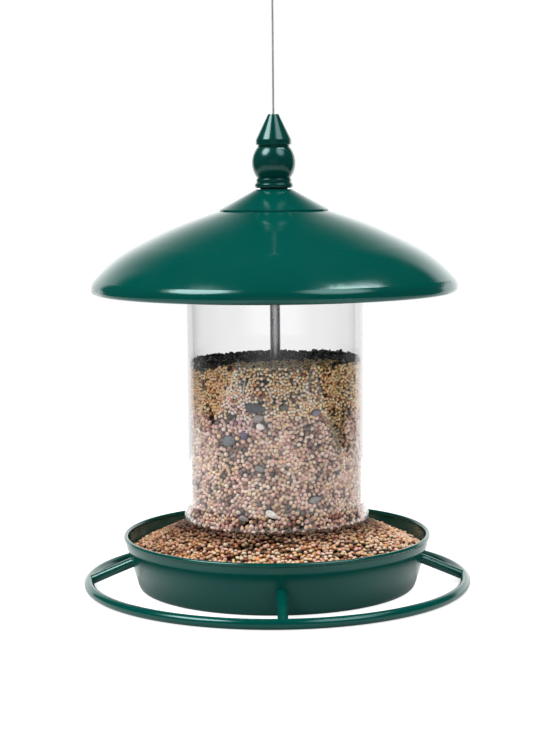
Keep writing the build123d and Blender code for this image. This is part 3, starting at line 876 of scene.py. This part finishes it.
def bedLayer(depth):
    # points spread over the ring from a short way in under the tube's foot out to the tray's wall
    reach = bed["wallRadius"]
    x, y = spread([-reach, -reach], [reach, reach], heap["traySpacing"], False).T
    radius = np.hypot(x, y)
    height = bedHeight(x, y) - bed["sink"] - depth + rng.uniform(-bed["scatter"], bed["scatter"], len(x))
    wall = bed["floorRadius"] + height * np.tan(radians(bed["taper"])) - bed["margin"]
    keep = (radius < wall) & (radius > bed["underFoot"])
    centres = np.column_stack([x, y, height])[keep]
    return centres, np.tile([0.0, 0.0, 1.0], (len(centres), 1))


# painted shade on the tray's seed; pairs are the places between which each part of the shade sets in
bedPaintedShade = {
    "overall": (1.0, 0.95, 0.96),
    "open": {"span": (-2, 24), "shaded": 0.12, "gain": 1.2, "shadedTint": (-0.12, 0.14, 0.3)},
    "left": {"span": (10, 80), "dim": 0.48, "tint": (0.0, 0.16, 0.3)},
    "back": {"span": (0, 60), "dim": 0.25},
}


def bedShade(centres, look):
    # painted shade: the seed is darker by the tube's foot, where it is redder, and towards the left and the
    # back
    x, y, _ = centres.T
    out = smooth(np.hypot(x, y) - bed["footRadius"], *look["open"]["span"])
    left = smooth(-x, *look["left"]["span"])
    level = look["open"]["shaded"] + look["open"]["gain"] * out
    level = level * (1 - look["left"]["dim"] * left)
    level = level * (1 - look["back"]["dim"] * smooth(y, *look["back"]["span"]))
    tint = 1 - np.outer(1 - out, look["open"]["shadedTint"]) - np.outer(left, look["left"]["tint"])
    return level[:, None] * look["overall"] * tint


# a wedge of the small seed: degrees from the front, and degrees that it leans and widens for each millimetre
wedge = {"tip": 89.0, "turn": 45.5, "lean": 0.07, "half": 2, "widen": 0.42}
# the lilac patch is a painted reflection, the foot and head gains are painted light, and the left edge's
# dimming is painted shade
columnToneAndPaintedLight = {
    "wedge": {
        "tip": 89.5, "rise": (86, 92), "edge": (-3, 3), "dim": 0.27, "tipDim": 0.4, "tipSpan": (95, 122),
        "tint": (0.0, 0.08, 0.26),
    },
    "corner": {"turn": (28, 44), "height": (108, 120), "dim": 0.2, "tint": (0.0, 0.14, 0.3)},
    "lilac": {
        "turnFrom": (14, 22), "turnTo": (30, 40), "heightFrom": (98, 108), "heightTo": (124, 132),
        "tint": (0.02, 0.0, 0.25),
    },
    "foot": {"height": (46, 54), "gain": 0.3},
    "head": {"height": (112, 120), "gain": 0.15},
    "leftEdge": {"turn": (52, 70), "dim": 0.2},
    "waves": {"depth": 0.12, "turnShort": 9, "turnLong": 17, "heightShort": 7, "heightLong": 11},
}


def turnOf(centres):
    # degrees from the front, to the right
    return np.degrees(np.arctan2(centres[:, 0], -centres[:, 1]))


def pastWedge(turn, above):
    # how many degrees a turn lies outside the wedge, at a height above its tip
    return abs(turn - wedge["turn"] + above * wedge["lean"]) - (wedge["half"] + above * wedge["widen"])


def inWedge(centres):
    # whether a grain lies in the wedge in which the small seed reaches down
    above = centres[:, 2] - wedge["tip"]
    return (above > 0) & (pastWedge(turnOf(centres), above) < 0)


def columnShade(centres, look):
    # patches of the seed in the tube: browner in the wedge and in the upper corner at the left, more lilac
    # between as a painted reflection, lighter at the foot and the head as painted light, dimmer at the left
    # edge as painted shade, and soft waves all over
    z = centres[:, 2]
    turn = turnOf(centres)
    shape, patch, waves = look["wedge"], look["lilac"], look["waves"]
    inside = smooth(z, *shape["rise"]) * (1 - smooth(pastWedge(turn, z - shape["tip"]), *shape["edge"]))
    corner = smooth(-turn, *look["corner"]["turn"]) * smooth(z, *look["corner"]["height"])
    lilac = smooth(-turn, *patch["turnFrom"]) * (1 - smooth(-turn, *patch["turnTo"]))
    lilac = lilac * smooth(z, *patch["heightFrom"]) * (1 - smooth(z, *patch["heightTo"]))
    level = 1 + look["foot"]["gain"] * (1 - smooth(z, *look["foot"]["height"]))
    level = level + look["head"]["gain"] * smooth(z, *look["head"]["height"])
    slanted = np.sin(turn / waves["turnShort"] + z / waves["heightShort"])
    level = level + waves["depth"] * slanted * np.sin(z / waves["heightLong"] - turn / waves["turnLong"])
    level = level * (1 - inside * (shape["dim"] + shape["tipDim"] * (1 - smooth(z, *shape["tipSpan"]))))
    level = level * (1 - look["corner"]["dim"] * corner)
    level = level * (1 - look["leftEdge"]["dim"] * smooth(-turn, *look["leftEdge"]["turn"]))
    tint = 1 - np.outer(inside, shape["tint"]) - np.outer(corner, look["corner"]["tint"])
    return level[:, None] * (tint + np.outer(lilac, patch["tint"]))


# single pieces on the tube's wall: degrees from the front, height, length, width, thickness, lean, colour
singles = {
    "greyHusk": (-13.5, 118.9, 12.5, 5.6, 2.4, -4, (0.055, 0.065, 0.08)),
    "paleUnderHusk": (-11.5, 112.5, 7.0, 5.0, 2.4, 20, (0.34, 0.29, 0.27)),
    "darkKernel": (-31.0, 112.8, 5.2, 3.0, 2.2, 12, (0.035, 0.03, 0.018)),
    "bluePebble": (-32.5, 98.2, 9.5, 6.5, 2.6, 20, (0.15, 0.17, 0.19)),
    "lilacHusk": (-21.3, 101.8, 4.6, 5.0, 2.2, 0, (0.13, 0.11, 0.18)),
    "palePebble": (-10.2, 107.6, 5.4, 4.2, 2.6, -15, (0.92, 0.82, 0.78)),
    "greyRight": (27.3, 115.0, 6.0, 4.0, 2.2, 10, (0.22, 0.19, 0.24)),
    "greyMiddle": (5.4, 119.2, 5.0, 3.0, 2.2, -10, (0.10, 0.095, 0.06)),
    "whiteFlake": (-3.0, 54.2, 8.5, 4.4, 1.4, -28, (0.95, 0.90, 0.84)),
    "longStick": (-20.8, 130.9, 9.0, 1.1, 1.0, 82, (0.55, 0.50, 0.38)),
    "greyLow": (-11.0, 82.0, 6.0, 4.0, 2.2, -20, (0.26, 0.25, 0.23)),
    "greyFoot": (26.0, 62.0, 8.0, 4.5, 2.2, 15, (0.30, 0.29, 0.29)),
    "greyFootLeft": (-22.0, 51.0, 6.5, 4.0, 2.2, -15, (0.36, 0.33, 0.33)),
}
# middle, gain and dark set a painted shade, lighter towards the tube's wall and darker towards its inside
singleLook = {"rings": 9, "turns": 16, "wallGap": 0.1, "edge": 0.5, "middle": 0.55, "gain": 0.6, "dark": 0.25}


def singlesMesh(name, rows, look, material):
    # smooth stretched balls that press on the tube's wall, each turned about the outward line, with painted
    # shade that darkens the side facing into the tube
    shape, triangles = grainShape(look["rings"], look["turns"])
    shade = np.clip(look["middle"] + look["gain"] * shape[:, 2], look["dark"], 1)
    points = []
    colours = []
    for turn, height, length, width, thick, lean, colour in rows:
        angle = radians(turn - 90)
        out = np.array([np.cos(angle), np.sin(angle), 0])
        around = np.array([-np.sin(angle), np.cos(angle), 0])
        lengthwise = np.cos(radians(lean)) * around + np.sin(radians(lean)) * np.array([0, 0, 1.0])
        across = np.cross(out, lengthwise)
        radius = column["inner"] - look["wallGap"] - thick / 2
        local = shape * [length / 2, width / 2, thick / 2]
        points.append(local @ np.stack([lengthwise, across, out]) + out * radius + [0, 0, height])
        colours.append(shade[:, None] * colour)
    faces = np.concatenate([triangles + index * len(shape) for index in range(len(rows))])
    piece = newPiece(name, np.concatenate(points) * mm, faces, material)
    colourPoints(piece, np.concatenate(colours))
    return piece


def clearOf(centres, rows, look):
    # which grains lie outside the footprint of every single piece
    angle = turnOf(centres)
    free = np.ones(len(centres), bool)
    for turn, height, length, width, _, lean, _ in rows:
        across = np.radians(angle - turn) * column["inner"]
        up = centres[:, 2] - height
        u = np.cos(radians(lean)) * across + np.sin(radians(lean)) * up
        v = -np.sin(radians(lean)) * across + np.cos(radians(lean)) * up
        free &= (u / (length / 2 + look["edge"])) ** 2 + (v / (width / 2 + look["edge"])) ** 2 > 1
    return free


def stacked(makeLayer, depths, *sizes):
    # joins the outer layer and the one behind it, darker as painted shade: centres, outward lines and levels
    # of colour
    layers = [makeLayer(*sizes, depth) for depth in depths]
    centres, outward = [np.concatenate(parts) for parts in zip(*layers)]
    levels = [np.full((len(layer[0]), 3), heap["secondShade"] ** row) for row, layer in enumerate(layers)]
    return centres, outward, np.concatenate(levels)


def chosenGrains(layer, mask):
    # the grains of a layer that a mask keeps
    return [part[mask] for part in layer]


def together(first, second):
    # two layers as one
    return [np.concatenate(pair) for pair in zip(first, second)]


def shaded(layer, makeShade, look):
    # a layer with its levels of colour multiplied by a shade
    centres, outward, level = layer
    return centres, outward, level * makeShade(centres, look)


def inParts(base, layer, mix, count):
    # splits a layer by its angle round the tube, so that each piece stays light
    angle = np.arctan2(layer[0][:, 1], layer[0][:, 0])
    part = np.floor((angle + np.pi) / (2 * np.pi) * count).astype(int) % count
    return [
        grainsMesh(f"{base}{index + 1}", chosenGrains(layer, part == index), mix, mixedSeed)
        for index in range(count)
    ]


upperLimits = (wedge["tip"], column["top"] - column["topGap"], heap["upperSpacing"])
lowerLimits = (column["low"] - column["lowReach"], column["change"], heap["lowerSpacing"])
upper = stacked(columnLayer, heap["upperDepths"], *upperLimits)
lower = stacked(columnLayer, heap["lowerDepths"], *lowerLimits)
top = stacked(topLayer, heap["topDepths"])
bedding = stacked(bedLayer, heap["trayDepths"])
singleRows = list(singles.values())
small = (upper[0][:, 2] > column["change"]) | inWedge(upper[0])
upper = chosenGrains(upper, small & clearOf(upper[0], singleRows, singleLook))
lower = chosenGrains(lower, ~inWedge(lower[0]) & clearOf(lower[0], singleRows, singleLook))
upperDark = isBlack(upper[0], blackEdge)
topDark = isBlack(top[0], blackEdge)
lighter = together(chosenGrains(upper, ~upperDark), chosenGrains(top, ~topDark))
darker = together(chosenGrains(upper, upperDark), chosenGrains(top, topDark))
upperSeed = inParts("upperSeed", shaded(lighter, columnShade, columnToneAndPaintedLight), upperMix, 2)
lowerSeed = inParts("lowerSeed", shaded(lower, columnShade, columnToneAndPaintedLight), lowerMix, 3)
blackTop = grainsMesh("blackSeedTop", darker, blackMix, blackSeed)
bedSeed = inParts("traySeed", shaded(bedding, bedShade, bedPaintedShade), trayMix, 3)
singlesMesh("singleSeeds", singleRows, singleLook, mixedSeed)
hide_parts("seed_column")
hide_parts("dark_seed_layer")
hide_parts("seed_bed")
print("seed poured:", sum(len(layer[0]) for layer in (lighter, lower, darker, bedding)), "grains")

# painted shade: a dark core that fills the heap under its outer grains
core = {
    "dark": (0.03, 0.018, 0.01), "light": (0.09, 0.05, 0.028), "cloudScale": 600, "rough": 0.9,
    "rodHole": 3.6, "columnDepth": 4.2, "columnFoot": 3, "columnHead": 4, "columnSegments": 96,
    "bedInner": 8, "bedDepth": 8.2, "bedFloor": 18, "bedWallSlope": 0.3, "bedWallGap": 3,
    "bedSegments": 160,
}


def coreMaterial(look):
    # painted shade between the grains: brown in fine clouds
    material, _, shader, _ = newMaterial("seedShade")
    paintClouds(shader, look["cloudScale"], look["dark"], look["light"])
    shader.inputs["Roughness"].default_value = look["rough"]
    return material


def columnCoreOutline(look):
    # a round bar with a hole for the rod
    radius = column["inner"] - column["clearance"] - look["columnDepth"]
    low = column["low"] + look["columnFoot"]
    high = column["top"] - look["columnHead"]
    return np.array([(look["rodHole"], low), (radius, low), (radius, high), (look["rodHole"], high)])


def bedCoreOutline(look):
    # a ring under the bed's slope, whose outer side leans out with the tray's wall
    inner = bed["footRadius"] - look["bedInner"]
    floor = bed["wallHeight"] - look["bedFloor"]
    shoulder = bed["wallHeight"] - look["bedDepth"]
    crown = bed["footHeight"] - look["bedDepth"]
    wall = bed["floorRadius"] - look["bedWallGap"]
    outer = [(wall + height * look["bedWallSlope"], height) for height in (floor, shoulder)]
    return np.array([(inner, floor), *outer, (bed["footRadius"], crown), (inner, crown)])


seedShade = coreMaterial(core)
turnedSurface("columnCore", columnCoreOutline(core), core["columnSegments"], seedShade)
turnedSurface("bedCore", bedCoreOutline(core), core["bedSegments"], seedShade)
print("seed backed")
